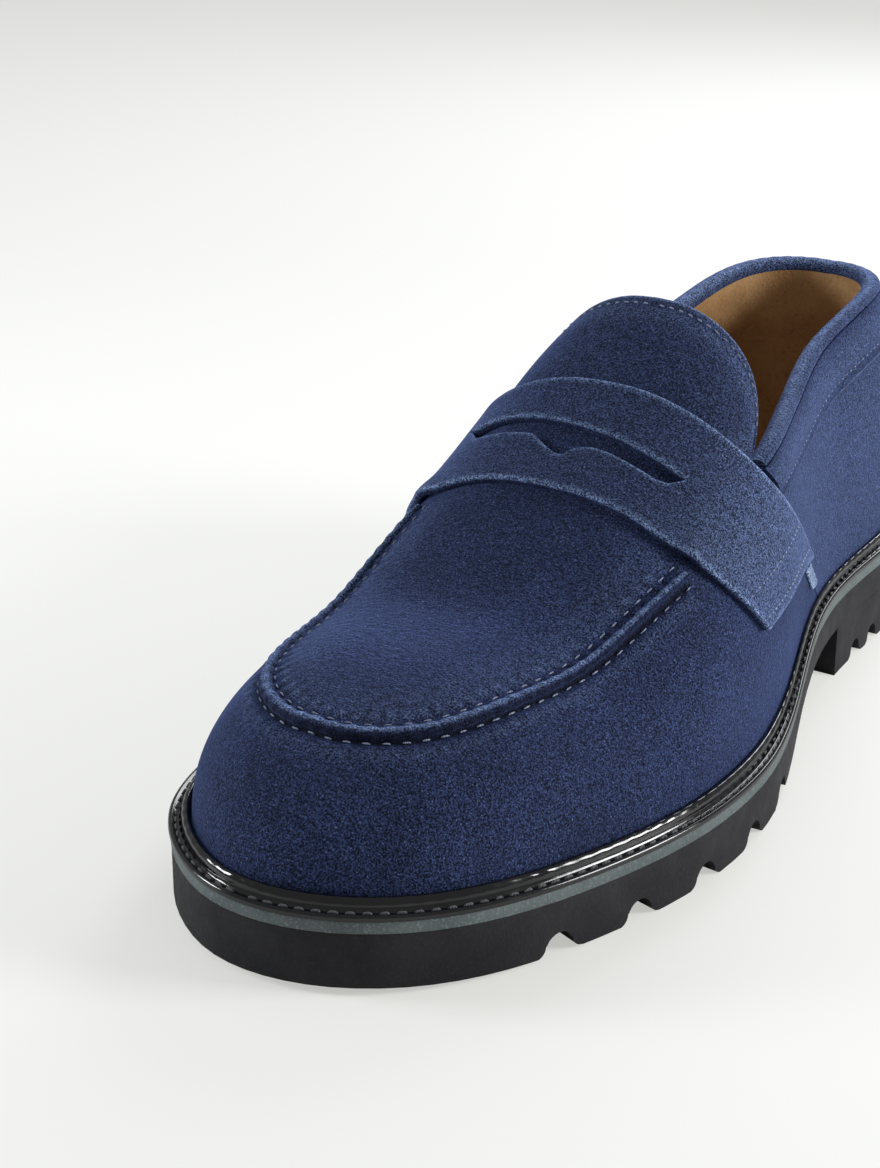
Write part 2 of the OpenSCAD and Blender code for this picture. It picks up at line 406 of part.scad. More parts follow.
// Penny strap over the instep with its slot
// Columns across the strap from the outer to the inner end, and the slot's two lips as shares of its width
STRAP_W = [1, 0.92, 0.84, 0.76, 0.68, 0.6, 0.52, 0.44, 0.377, 0.36, 0.343, 0.3, 0.25, 0.2, 0.16, 0.125, 0.09, 0.057, 0.038, 0.02, 0.006, -0.008, -0.022,
  -0.037, -0.06, -0.085, -0.107, -0.13, -0.17, -0.215, -0.26, -0.3, -0.35, -0.4, -0.44, -0.48, -0.54, -0.61, -0.69, -0.77, -0.85, -0.93, -1];
SLOT_LOW = [[-1, 0.56], [-0.6, 0.63], [-0.48, 0.655], [-0.4, 0.5], [-0.3, 0.48], [-0.215, 0.465], [-0.13, 0.445], [-0.085, 0.375], [-0.037, 0.285], [-0.008, 0.285],
  [0.02, 0.37], [0.057, 0.415], [0.125, 0.405], [0.2, 0.385], [0.3, 0.37], [0.343, 0.4], [0.377, 0.5], [0.5, 0.5], [1, 0.46]];
SLOT_HIGH = [[-1, 0.68], [-0.6, 0.69], [-0.48, 0.668], [-0.365, 0.655], [-0.23, 0.63], [-0.085, 0.6], [0.025, 0.575], [0.195, 0.53], [0.327, 0.515], [0.377, 0.512], [0.5, 0.55], [1, 0.58]];
function slot_w(w) = (w + 0.05) * 58 / slot_length - 0.05;
function strap_r(w, k) = let(lo = lookup(slot_w(w), SLOT_LOW), hi = lookup(slot_w(w), SLOT_HIGH)) k < 4 ? lo * k / 3 : hi + (1 - hi) * (k - 4) / 3;
function strap_end(r) = lerp(0.238, 0.118, r) + 0.04 * r * (1 - r);
function strap_it(w, r) = let(t = 1 - (1 - strap_end(r)) * abs(w), k = lerp(strap_front(t), break_line(t) + 0.035, r)) [w < 0 ? -k : k, t];
// The slot's own columns spread or close up with its length
function strap_w(w) = abs(w + 0.05) < 0.44 ? (w + 0.05) * slot_length / 58 - 0.05 : w;
function strap_grid(d) = [for (k = [0:7]) [for (w = STRAP_W) let(x = strap_w(w), q = strap_it(x, strap_r(x, k)), e = entry(q[0], q[1])) at(e, d)]];
module strap() color([0.14, 0.17, 0.3])
  skin(concat(flat(strap_grid(strap_out)), flat(strap_grid(strap_in))), 8, len(STRAP_W), false, 3, 8, 35);
module strap_stitching() color([0.45, 0.5, 0.62]) for (s = [-1, 1]) for (w = [0.955, 0.84])
  stitches([for (k = [1:19]) strap_it(s * w, lerp(0.06, 0.94, k / 20))], stitch_pitch * 0.7, stitch_pitch * 0.38, 0.8, strap_out + 0.12, strap_out + 0.55);

// Tongue flap behind the strap
NT = 24;
NL = 6;
function tongue_it(w, r) = let(t = 1 - (0.482 + 0.05 * r * (1 - pow(abs(w), 8))) * abs(w), k0 = break_line(t) + 0.05, k1 = break_line(t) + 0.11 + tongue_reach * (1 - pow(abs(w), 7)),
  k = lerp(k0, k1, r)) [w < 0 ? -k : k, t];
function tongue_grid(d) = [for (r = [0:NL]) [for (c = [0:NT]) let(q = tongue_it(1 - 2 * c / NT, r / NL)) pt(q[0], q[1], d)]];
module tongue() color([0.13, 0.16, 0.28]) slab(tongue_grid(suede_out), tongue_grid(stiff_in));
module tongue_lining() color([0.76, 0.55, 0.35]) slab(tongue_grid(lining_out), tongue_grid(lining_in));
module tongue_stitching() color([0.45, 0.5, 0.62]) for (s = [-1, 1]) stitches(
  [for (k = [0:20]) let(w = 0.02 + 0.91 * k / 20) tongue_it(s * w, 1 - 0.14 - 0.12 * pow(w, 8))], stitch_pitch * 0.7, stitch_pitch * 0.38, 0.8, suede_out + 0.12, suede_out + 0.55);

outsole();
heel_block();
heel_nails();
midsole();
welt();
welt_stitching();
cork_filler();
shank();
insole();
heel_pad();
sock_liner();
toe_puff();
heel_counter();
interlining();
vamp();
apron();
apron_piping();
apron_stitching();
vamp_lining();
quarter_lateral();
quarter_medial();
quarter_lining();
quarter_edge_lateral();
quarter_edge_medial();
collar_band();
collar_stitching();
topline_binding();
back_strip();
strap();
strap_stitching();
tongue();
tongue_lining();
tongue_stitching();
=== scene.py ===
import json
import math
import bpy
import bmesh
import numpy as np
from mathutils import Vector, Matrix


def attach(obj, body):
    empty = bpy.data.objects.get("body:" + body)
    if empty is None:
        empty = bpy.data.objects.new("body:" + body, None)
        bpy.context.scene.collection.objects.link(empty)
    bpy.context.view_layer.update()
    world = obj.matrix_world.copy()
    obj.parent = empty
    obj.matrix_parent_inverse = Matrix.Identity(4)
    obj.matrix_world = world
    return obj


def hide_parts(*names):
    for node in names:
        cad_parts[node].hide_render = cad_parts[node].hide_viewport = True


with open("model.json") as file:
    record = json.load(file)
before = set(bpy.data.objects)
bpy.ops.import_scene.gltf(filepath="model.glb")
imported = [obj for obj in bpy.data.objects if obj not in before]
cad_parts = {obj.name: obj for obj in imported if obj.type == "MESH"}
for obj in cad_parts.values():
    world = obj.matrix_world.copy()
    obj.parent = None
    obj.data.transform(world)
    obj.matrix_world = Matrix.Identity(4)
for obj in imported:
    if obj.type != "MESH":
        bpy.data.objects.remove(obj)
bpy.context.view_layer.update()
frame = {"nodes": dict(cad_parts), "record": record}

# ---------------------------------------------------------------- sizes and surfaces, in millimetres, as in the CAD model
TH, IH, SP = 35.5, 93.5, 2.4
OUT, MID, WELT, EDGE, RISE, SPRING = 13.5, 3., 1.6, 5., 9.5, 2.
lining_in, lining_out, stiff_in, suede_in, suede_out = .15, 1.25, 1.35, 2.45, 4.35
band_in, band_out, strap_in, strap_out, welt_in = suede_out + .3, suede_out + 1.2, suede_out + .4, suede_out + 2.5, suede_out + .25
z0 = OUT + MID
NST = 22
ST_Y = np.array([-138, -120, -92, -58, -24, 8, 42, 78, 108, 134])
ST_L = np.array([19, 36, 47, 56, 55, 48, 36, 31, 31, 25.])
ST_M = np.array([18, 37, 43, 50, 46, 43, 35, 33, 33, 26.])
RAW = np.array([(-2, -143.5)] + list(zip(ST_L, ST_Y)) + [(0, 145)] + list(zip(-ST_M[::-1], ST_Y[::-1])))


def unit(v):
    return v / np.maximum(np.linalg.norm(v, axis=-1, keepdims=True), 1e-9)


def loop(P, i):
    x = np.asarray(i, float) % NST
    j = np.floor(x).astype(int)
    f = (x - j)[..., None]
    g = 1 - f
    a, b, c, d = P[(j - 1) % NST], P[j % NST], P[(j + 1) % NST], P[(j + 2) % NST]
    return (g**3 * a + (3 * f**3 - 6 * f * f + 4) * b + (-3 * f**3 + 3 * f * f + 3 * f + 1) * c + f**3 * d) / 6


def loop_side(P, i):
    i = np.asarray(i, float)
    d = unit(loop(P, i + .01) - loop(P, i - .01))
    return np.stack([d[..., 1], -d[..., 0]], -1)


def sstep(x):
    u = np.clip(x, 0, 1)
    return u * u * (3 - 2 * u)


def mirror_i(i):
    x = np.abs(np.asarray(i, float) % NST)
    return np.minimum(x, NST - x)


def edge_out(i):
    m = mirror_i(i)
    return suede_out + EDGE * (1 - .42 * sstep((m - 4.6) / 1.8) + .2 * sstep((m - 7) / 2))


_k = np.arange(220) / 10
RE = loop(RAW, _k) + edge_out(_k)[:, None] * loop_side(RAW, _k)
CX, CY = (RE.min(0) + RE.max(0)) / 2
CT = RAW - [CX, CY]
Y0, Y1 = -94 - CY, 106 - CY
SPINE = np.array([-4, 0, 3, 4, 4, 2, 0, 0]) - CX
RIDGE = z0 + TH + np.array([0, .06, .328, .62, 1, 1.207, 1.362, 1.483]) * (IH - TH)


def spline(v, u):
    v = np.asarray(v, float)
    n = len(v) - 1
    x = np.clip(np.asarray(u, float), 0, 1) * n
    i = np.minimum(np.floor(x).astype(int), n - 1)
    f = x - i
    p1, p2 = v[i], v[i + 1]
    p0 = np.where(i > 0, v[np.maximum(i - 1, 0)], 2 * p1 - p2)
    p3 = np.where(i < n - 1, v[np.minimum(i + 2, n)], 2 * p2 - p1)
    return .5 * (2 * p1 + (p2 - p0) * f + (2 * p0 - 5 * p1 + 4 * p2 - p3) * f * f + (3 * p1 - p0 - 3 * p2 + p3) * f**3)


def seat(y):
    return z0 + SPRING * np.clip((-50 - CY - y) / 95, 0, 1)**2 + RISE * sstep((y + 25 + CY) / 90)


PY = -165 + 7.5 * np.arange(45)


def seat_at(y):
    return np.interp(y, PY, seat(PY))


def last(i, t):
    i, t = np.broadcast_arrays(np.asarray(i, float), np.asarray(t, float))
    F = loop(CT, i)
    y = .5 * (F[..., 1] + Y0 + np.sqrt((F[..., 1] - Y0)**2 + 196))
    y = .5 * (y + Y1 - np.sqrt((y - Y1)**2 + 196))
    T = np.stack([spline(SPINE, (y - Y0) / (Y1 - Y0)), y], -1)
    h = np.sin(t * np.pi / 2)**(2 / SP)
    g = 1 - np.clip(np.cos(t * np.pi / 2), 0, 1)**(2 / SP)
    w = np.clip((F[..., 1] - 60) / 80, 0, 1)**2
    g2 = g + .25 * w * h * h * (1 - g)
    g3 = g + .7 * sstep(F[..., 1] / 90) * h * h * (1 - g)
    q = F + (T - F) * np.stack([g3, g2], -1)
    rid = lambda v: spline(RIDGE, (v - Y0) / (Y1 - Y0))
    top = rid(y) + (rid(y + .5) - rid(y - .5)) * (q[..., 1] - y)
    return np.concatenate([q, (seat(F[..., 1]) * (1 - h) + top * h)[..., None]], -1)


def side(i, t):
    i, t = np.broadcast_arrays(np.asarray(i, float), np.asarray(t, float))
    s = np.clip(t, .02, .985)
    return unit(np.cross(last(i + .02, s) - last(i - .02, s), last(i, s + .01) - last(i, s - .01)))


def entry(i, t):
    """The last's point and its outward direction; the lowest row stands on the midsole."""
    i, t = np.broadcast_arrays(np.asarray(i, float), np.asarray(t, float))
    P, N = last(i, t), side(i, t)
    low = (t < .001)[..., None]
    flat = N * [1, 1, 0]
    return np.where(low, P + [0, 0, .15], P), np.where(low, unit(flat), N)


def pt(i, t, d):
    P, N = entry(i, t)
    return P + N * np.asarray(d, float)[..., None]


SEAM_L = [.667, .645, .622, .612, .6, .535, .5, .48]
SEAM_M = [.667, .648, .615, .57, .558, .575, .53, .5]


def seam(i):
    i = np.asarray(i, float)
    return np.where(i < 0, spline(SEAM_M, abs(i) / 7), spline(SEAM_L, abs(i) / 7))


def break_line(t):
    return 5.68 + 1.62 * (1 - np.asarray(t, float))**3.5


def topline(m):
    return spline([.66, .468, .375, .366, .366, .358, .35], (np.asarray(m, float) - 5) / 6)


def strap_front(t):
    return 4.78 + 2.1 * np.maximum(0, .72 - t)**2


def strap_it(w, r):
    t = 1 - (1 - (.238 - .12 * r + .04 * r * (1 - r))) * np.abs(w)
    k = strap_front(t) + (break_line(t) + .035 - strap_front(t)) * r
    return np.where(w < 0, -k, k), t


def tongue_it(w, r):
    t = 1 - (.482 + .05 * r * (1 - np.abs(w)**8)) * np.abs(w)
    k0 = break_line(t) + .05
    k1 = break_line(t) + .11 + .62 * (1 - np.abs(w)**7)
    k = k0 + (k1 - k0) * r
    return np.where(w < 0, -k, k), t


rng = np.random.RandomState(7)
_W = [(rng.normal(size=3), rng.uniform(0, 6.28)) for _ in range(24)]


def lumps(P, size):
    """Soft waves of about the given size, from -1 to 1, the same at each run."""
    s = 0
    for v, ph in _W:
        s = s + np.sin((P @ v) * (2 * np.pi / size / 1.7) + ph)
    return s / 6


def run(P):
    """Length along a line of points, from its start."""
    return np.concatenate([[0], np.cumsum(np.linalg.norm(np.diff(P, axis=0), axis=1))])


# ---------------------------------------------------------------- mesh helpers
def make(name, V, F, mat, stands_for, body="shoe", wear_and_painted_light=None, fix=True, bevel=None, angle=42, merge=2e-6):
    me = bpy.data.meshes.new(name)
    me.from_pydata((np.asarray(V) * .001).tolist(), [], [list(map(int, f)) for f in F])
    if wear_and_painted_light is not None:
        me.attributes.new("wear_and_painted_light", "FLOAT", "POINT").data.foreach_set("value", np.asarray(wear_and_painted_light, np.float32).ravel())
    ob = bpy.data.objects.new(name, me)
    bpy.context.scene.collection.objects.link(ob)
    return finish_mesh(ob, mat, stands_for, body, fix, bevel, angle, merge)


def finish_mesh(ob, mat, stands_for, body, fix=True, bevel=None, angle=42, merge=2e-6, flat=False):
    me = ob.data
    bm = bmesh.new()
    bm.from_mesh(me)
    bmesh.ops.remove_doubles(bm, verts=bm.verts, dist=merge)
    if flat:
        bmesh.ops.dissolve_limit(bm, angle_limit=math.radians(1.2), verts=bm.verts, edges=bm.edges)
    if fix:
        bmesh.ops.recalc_face_normals(bm, faces=bm.faces)
    bm.to_mesh(me)
    bm.free()
    if bevel:
        m = ob.modifiers.new("bevel", "BEVEL")
        m.width, m.segments, m.limit_method, m.angle_limit = bevel * .001, 3, "ANGLE", math.radians(48)
        m.use_clamp_overlap, m.loop_slide = True, False
        dg = bpy.context.evaluated_depsgraph_get()
        new = bpy.data.meshes.new_from_object(ob.evaluated_get(dg))
        ob.modifiers.clear()
        ob.data = new
        me = new
    me.shade_smooth()
    me.set_sharp_from_angle(angle=math.radians(angle))
    me.materials.clear()
    me.materials.append(mat)
    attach(ob, body)
    if stands_for:
        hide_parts(*([stands_for] if isinstance(stands_for, str) else stands_for))
    return ob


def quads(n, m, skip=None, off=0, shut=False):
    a, b = np.meshgrid(np.arange(n if shut else n - 1), np.arange(m - 1), indexing="ij")
    keep = np.ones(a.shape, bool) if skip is None else ~skip
    a, b = a[keep], b[keep]
    c = (a + 1) % n
    return np.stack([a * m + b, a * m + b + 1, c * m + b + 1, c * m + b], 1) + off


def shell(A, B, skip=None):
    """A closed piece between two matching point grids; skip marks cells that are left out."""
    n, m = A.shape[:2]
    K = n * m
    F = [quads(n, m, skip), quads(n, m, skip, K)[:, ::-1]]
    cells = np.ones((n - 1, m - 1), bool) if skip is None else ~skip
    pad = np.zeros((n + 1, m + 1), bool)
    pad[1:-1, 1:-1] = cells
    idx = lambda a, b: a * m + b
    W = []
    for a in range(n):
        for b in range(m - 1):
            if pad[a, b + 1] != pad[a + 1, b + 1]:
                W.append([idx(a, b), idx(a, b + 1), K + idx(a, b + 1), K + idx(a, b)])
    for a in range(n - 1):
        for b in range(m):
            if pad[a + 1, b] != pad[a + 1, b + 1]:
                W.append([idx(a, b), idx(a + 1, b), K + idx(a + 1, b), K + idx(a, b)])
    return np.concatenate([A.reshape(-1, 3), B.reshape(-1, 3)]), [*F[0], *F[1], *W]


def tube(S, shut=False):
    """Rings of points joined along a path, with end caps unless shut."""
    n, m = S.shape[:2]
    F = []
    for a in range(n if shut else n - 1):
        c = (a + 1) % n
        for b in range(m):
            d = (b + 1) % m
            F.append([a * m + b, a * m + d, c * m + d, c * m + b])
    if not shut:
        F += [list(range(m))[::-1], [(n - 1) * m + k for k in range(m)]]
    return S.reshape(-1, 3), F


def frames(path, d):
    """Points, directions along, across and out for a path of (i, t) at level d."""
    i, t = path
    P, N = entry(i, t)
    C = P + N * d
    T = unit(np.gradient(C, axis=0))
    W = unit(np.cross(T, N))
    return C, np.cross(N, W), W, N


def resample(path, d, step, phase=.5):
    i, t = path
    S = run(pt(i, t, np.full(len(i), d)))
    n = max(2, int(round(S[-1] / step)))
    x = (np.arange(n) + phase) * S[-1] / n
    return (np.interp(x, S, i), np.interp(x, S, t)), S[-1] / n


def bead(C, T, W, N, long, wide, tall, seed=0):
    """Small rounded stitches, one at each point."""
    us = np.linspace(-1, 1, 9)
    V, F = [], []
    r = np.random.RandomState(seed)
    for c, t, w, n in zip(C, T, W, N):
        k = r.uniform(-.09, .09)
        t2, w2 = t * math.cos(k) + w * math.sin(k), w * math.cos(k) - t * math.sin(k)
        f = r.uniform(.9, 1.08)
        o = len(V)
        for u in us:
            q = max(.05, 1 - abs(u)**3.2)
            for a in range(8):
                an = a * math.pi / 4 + .39
                V.append(c + t2 * u * long * f / 2 + (w2 * math.cos(an) * wide / 2 + n * math.sin(an) * tall)
                    * math.sqrt(q) - n * tall * .35 * abs(u)**3)
        for a in range(8):
            for b in range(8):
                e = (b + 1) % 8
                F.append([o + a * 8 + b, o + a * 8 + e, o + a * 8 + 8 + e, o + a * 8 + 8 + b])
        F += [[o + k for k in range(8)][::-1], [o + 64 + k for k in range(8)]]
    return np.array(V), F


def stitches(name, paths, d, step, long, wide, tall, mat, node, body="shoe", lift=None):
    V, F = [], []
    for n, p in enumerate(paths):
        q, _ = resample(p, d, step)
        C, T, W, N = frames(q, d)
        v, f = bead(C, T, W, N, long, wide, tall, n + 3)
        F += [[k + sum(map(len, V)) for k in g] for g in f]
        V.append(v)
    return make(name, np.concatenate(V), F, mat, node, body, merge=1e-7)


# ---------------------------------------------------------------- materials
def new_mat(name):
    m = bpy.data.materials.new(name)
    m.use_nodes = True
    nt = m.node_tree
    b = nt.nodes["Principled BSDF"]
    co = nt.nodes.new("ShaderNodeTexCoord").outputs["Object"]
    return m, nt, b, co


def noise(nt, co, scale, detail=3., rough=.55, stretch=None):
    n = nt.nodes.new("ShaderNodeTexNoise")
    n.inputs["Scale"].default_value = scale
    n.inputs["Detail"].default_value = detail
    n.inputs["Roughness"].default_value = rough
    if stretch:
        mp = nt.nodes.new("ShaderNodeMapping")
        mp.inputs["Scale"].default_value = stretch
        nt.links.new(co, mp.inputs["Vector"])
        co = mp.outputs["Vector"]
    nt.links.new(co, n.inputs["Vector"])
    return n.outputs["Fac"]


def ramp(nt, fac, lo, hi, a=0., b=1.):
    n = nt.nodes.new("ShaderNodeMapRange")
    n.interpolation_type = "SMOOTHSTEP"
    for k, v in (("From Min", lo), ("From Max", hi), ("To Min", a), ("To Max", b)):
        n.inputs[k].default_value = v
    nt.links.new(fac, n.inputs["Value"])
    return n.outputs["Result"]


def mix(nt, fac, a, b, how="MIX"):
    n = nt.nodes.new("ShaderNodeMix")
    n.data_type = "RGBA"
    n.blend_type = how
    for k, v in ((0, fac), (6, a), (7, b)):
        if hasattr(v, "links"):
            nt.links.new(v, n.inputs[k])
        else:
            n.inputs[k].default_value = v if k == 0 else (*v, 1)
    return n.outputs[2]


def maths(nt, how, a, b=0.):
    n = nt.nodes.new("ShaderNodeMath")
    n.operation = how
    for k, v in enumerate((a, b)):
        if hasattr(v, "links"):
            nt.links.new(v, n.inputs[k])
        else:
            n.inputs[k].default_value = v
    return n.outputs[0]


def bump(nt, b, layers):
    """Stacked bumps: (height, strength, distance in metres)."""
    last_n = None
    for h, s, d in layers:
        n = nt.nodes.new("ShaderNodeBump")
        n.inputs["Strength"].default_value = s
        n.inputs["Distance"].default_value = d
        nt.links.new(h, n.inputs["Height"])
        if last_n is not None:
            nt.links.new(last_n, n.inputs["Normal"])
        last_n = n.outputs["Normal"]
    nt.links.new(last_n, b.inputs["Normal"])


def suede(name, dark, mid, light, worn_and_lit, nap=.65):
    m, nt, b, co = new_mat(name)
    big = ramp(nt, noise(nt, co, 17, 2), .36, .66)
    blot = ramp(nt, noise(nt, co, 70, 3), .35, .7)
    speck = noise(nt, co, 2300, 1, .5)
    fine = noise(nt, co, 3600, 1, .5)
    crease = noise(nt, co, 520, 2, .5, (1, 1.8, 1.3))
    c = mix(nt, maths(nt, "ADD", maths(nt, "MULTIPLY", big, .5), .2), dark, mid)
    c = mix(nt, maths(nt, "ADD", maths(nt, "MULTIPLY", blot, .14), .08), c, light)
    value = maths(nt, "MULTIPLY", ramp(nt, speck, .36, .64, .24, 1.98), ramp(nt, fine, .35, .65, .6, 1.4))
    value = maths(nt, "MULTIPLY", value, ramp(nt, crease, .35, .62, .86, 1.1))
    # the vertex channel holds rubbed wear and painted light together: positive values mix towards the worn colour
    # (rubbed edges, and on some pieces a painted highlight or a painted lift of lit sides), negative values are painted
    # shade
    at = nt.nodes.new("ShaderNodeAttribute")
    at.attribute_name = "wear_and_painted_light"
    rub_and_painted_light = maths(nt, "MULTIPLY", at.outputs["Fac"], ramp(nt, noise(nt, co, 420, 3), .2, .6, .55, 1))
    c = mix(nt, maths(nt, "MINIMUM", maths(nt, "MAXIMUM", rub_and_painted_light, 0.), 1.), c, worn_and_lit)
    flecks = ramp(nt, noise(nt, co, 2600, 0, .4), .68, .78)
    c = mix(nt, maths(nt, "MULTIPLY", flecks, .26), c, worn_and_lit)
    c = mix(nt, 1., c, value, "MULTIPLY")
    # negative channel values darken to near-black: painted shade in the grooves beside the seam and under the strap
    c = mix(nt, maths(nt, "MINIMUM", maths(nt, "MAXIMUM", maths(nt, "MULTIPLY", at.outputs["Fac"], -1.), 0.), 1.), c,
        [v * .12 for v in dark])
    nt.links.new(c, b.inputs["Base Color"])
    b.inputs["Roughness"].default_value = .9
    b.inputs["Specular IOR Level"].default_value = .15
    b.inputs["Sheen Weight"].default_value = nap
    b.inputs["Sheen Roughness"].default_value = .38
    b.inputs["Sheen Tint"].default_value = (*[min(1, v * 4.6 + .03) for v in light], 1)
    bump(nt, b, [(crease, .4, .0008), (speck, .55, .0003), (fine, .3, .0002)])
    return m


def leather(name, dark, light, rough=.5, scale=900, coat=0.):
    m, nt, b, co = new_mat(name)
    c = mix(nt, ramp(nt, noise(nt, co, 38, 3), .3, .7), dark, light)
    c = mix(nt, ramp(nt, noise(nt, co, 700, 3), .45, .3, 0, .35), c, [v * .55 for v in dark])
    nt.links.new(c, b.inputs["Base Color"])
    b.inputs["Roughness"].default_value = rough
    b.inputs["Coat Weight"].default_value = coat
    v = nt.nodes.new("ShaderNodeTexVoronoi")
    v.inputs["Scale"].default_value = scale
    nt.links.new(co, v.inputs["Vector"])
    bump(nt, b, [(v.outputs["Distance"], .3, .0004), (noise(nt, co, 240, 3), .25, .0008)])
    return m


def rubber(name, dark, light, rough, grain=1500, spec=.4, depth=.0003, fleck=.3):
    m, nt, b, co = new_mat(name)
    c = mix(nt, ramp(nt, noise(nt, co, 60, 3), .3, .7), dark, light)
    c = mix(nt, ramp(nt, noise(nt, co, grain, 2), .52, .7, 0, fleck), c, [min(1, v * 2.2 + .02) for v in light])
    nt.links.new(c, b.inputs["Base Color"])
    nt.links.new(ramp(nt, noise(nt, co, 130, 3), .3, .7, rough - .06, rough + .08), b.inputs["Roughness"])
    b.inputs["Specular IOR Level"].default_value = spec
    bump(nt, b, [(noise(nt, co, grain, 3), .4, depth), (noise(nt, co, 90, 3), .12, .0008)])
    return m


def thread(name, dark, light, rough=.7):
    m, nt, b, co = new_mat(name)
    wv = nt.nodes.new("ShaderNodeTexWave")
    wv.inputs["Scale"].default_value = 900
    wv.inputs["Distortion"].default_value = 2.5
    nt.links.new(co, wv.inputs["Vector"])
    nt.links.new(mix(nt, wv.outputs["Fac"], dark, light), b.inputs["Base Color"])
    b.inputs["Roughness"].default_value = rough
    b.inputs["Sheen Weight"].default_value = .3
    bump(nt, b, [(wv.outputs["Fac"], .5, .0002)])
    return m


def metal(name, col, rough):
    m, nt, b, co = new_mat(name)
    nt.links.new(mix(nt, ramp(nt, noise(nt, co, 500, 3, .5, (1, 8, 1)), .35, .7), [v * .8 for v in col], col),
        b.inputs["Base Color"])
    b.inputs["Metallic"].default_value = 1
    b.inputs["Roughness"].default_value = rough
    bump(nt, b, [(noise(nt, co, 900, 2), .15, .0002)])
    return m


DARK, MIDC, LIGHT, WORN_AND_LIT = (.0062, .0092, .029), (.0135, .0208, .063), (.031, .050, .135), (.16, .225, .39)
M_SUEDE = suede("suede_navy", DARK, MIDC, LIGHT, WORN_AND_LIT)
M_EDGE = suede("suede_edge", (.05, .07, .16), (.075, .105, .22), (.12, .165, .31), (.26, .34, .54), .75)
M_LINE = leather("lining_tan", (.36, .2, .085), (.52, .32, .15), .48, 1000)
M_SOCK = leather("sock_tan", (.4, .235, .1), (.55, .35, .17), .42, 1300)
M_WELT = rubber("welt_black", (.0022, .0022, .0028), (.0045, .0045, .0055), .13, 700, .6, .00004, .03)
M_GREY = rubber("strip_grey", (.085, .105, .108), (.125, .15, .152), .6, 1500, .35, .0004, .35)
M_BLACK = rubber("sole_black", (.0085, .0083, .0105), (.016, .0158, .0195), .66, 1200, .32, .0003, .12)
M_THREAD_W = thread("thread_grey", (.035, .037, .042), (.16, .165, .18))
M_THREAD_B = thread("thread_blue", (.15, .19, .3), (.34, .4, .54))
M_CORK = rubber("cork", (.35, .2, .09), (.5, .32, .16), .85, 500, .2, .0006, .5)
M_BOARD = leather("insole_board", (.5, .34, .19), (.64, .47, .28), .75)
M_FOAM = rubber("pad_foam", (.62, .5, .33), (.75, .63, .45), .9, 1400, .15, .0004, .4)
M_STIFF = leather("stiffener", (.6, .56, .47), (.75, .71, .62), .85, 1500)
M_BRASS = metal("nail_brass", (.62, .45, .18), .32)
M_STEEL = metal("shank_steel", (.5, .5, .52), .3)
BY_SLOT = {"cork": M_CORK, "insole_board": M_BOARD, "pad_foam": M_FOAM, "stiffener": M_STIFF, "nail_brass": M_BRASS,
    "shank_steel": M_STEEL, "lining_tan": M_LINE,
           "rubber_black": M_BLACK, "rubber_grey": M_GREY, "welt_black": M_WELT, "thread_grey": M_THREAD_W,
               "thread_blue": M_THREAD_B, "suede_navy": M_SUEDE, "suede_edge": M_EDGE}

# ---------------------------------------------------------------- the seam between vamp and apron
SK = np.linspace(-4.76, 4.76, 1601)
SEAM = (SK, seam(SK))
SEAM_S = run(pt(*SEAM, np.full(len(SK), suede_out)))
N_ST = int(round(SEAM_S[-1] / 4.4))
PITCH = SEAM_S[-1] / N_ST


def seam_phase(i):
    return 2 * np.pi * np.interp(i, SK, SEAM_S) / PITCH


def columns_len(P):
    """Length along the second axis of a point grid."""
    d = np.linalg.norm(np.diff(P, axis=1), axis=-1)
    return np.concatenate([np.zeros((P.shape[0], 1)), np.cumsum(d, 1)], 1)


# vamp: from the welt up to the seam
na, nv = 420, 60
r = np.linspace(-1, 1, na + 1)[:, None]
b = np.linspace(0, 1, nv + 1)[None, :]
s0 = seam(r * break_line(seam(r * 5.9)))
t = s0 * (1 - (1 - b)**1.25)
i = r * break_line(t)
P, N = entry(i, t)
x = columns_len(P)
x = x[:, -1:] - x
ph = seam_phase(np.clip(i, -4.76, 4.76))
near = (np.abs(i) < 4.7) * 1.
d = (suede_out + near * (.5 * np.exp(-(x / 1.5)**2) - .75 * np.exp(-((x - 2.3) / .8)**2) * (.8 + .2 * np.cos(ph))
    + .13 * np.cos(ph) * np.exp(-((x - 3.5) / 3)**2)))
d = d + .12 * lumps(P, 38) * sstep(x / 12) * sstep(t / .12)
# beside the seam the vamp is painted near-black along the groove (painted shade), with a faint lighter band a little
# further off
wear_and_painted_light = near * (.08 * np.exp(-((x - 5.2) / 1.5)**2) - .95 * np.exp(-((x - 2.0) / .75)**2)) + .03
V, F = shell(P + N * d[..., None], P + N * suede_in)
make("vamp_suede", V, F, M_SUEDE, "vamp", wear_and_painted_light=np.concatenate([wear_and_painted_light.ravel(), wear_and_painted_light.ravel() * 0]))

# apron: from the seam over the ridge to the other seam
nr, nc = 260, 64
r = (np.linspace(0, 1, nr + 1)**1.25)[:, None]
c = np.linspace(-1, 1, 2 * nc + 1)[None, :]
s1 = np.where(c < 0, seam(-r * break_line(seam(-r * 5.9))), seam(r * break_line(seam(r * 5.9))))
t = s1 + (1 - s1) * (1 - np.abs(c)**1.15)
i = np.where(c < 0, -1, 1) * r * break_line(t)
P, N = entry(i, t)
Pm, Nm = entry(-i, t)
k = np.clip((t - .93) / .07, 0, 1)[..., None]**2 * .5
P, N = P * (1 - k) + Pm * k, unit(N * (1 - k) + Nm * k)
A = columns_len(P[:, :nc + 1])
B2 = columns_len(P[:, nc:][:, ::-1])[:, ::-1]
x = np.concatenate([A[:, :-1], B2], 1)
keep = sstep((r - .12) / .2)[..., None]
for _ in range(30):
    for X in (P, N):
        sm = X.copy()
        sm[:, 1:-1] = X[:, 1:-1] * .5 + (X[:, 2:] + X[:, :-2]) * .25
        wk = keep * np.exp(-(c / .16)**2)[..., None]
        X[:] = X * (1 - wk) + sm * wk
N = unit(N)
ph = seam_phase(np.clip(i, -4.76, 4.76))
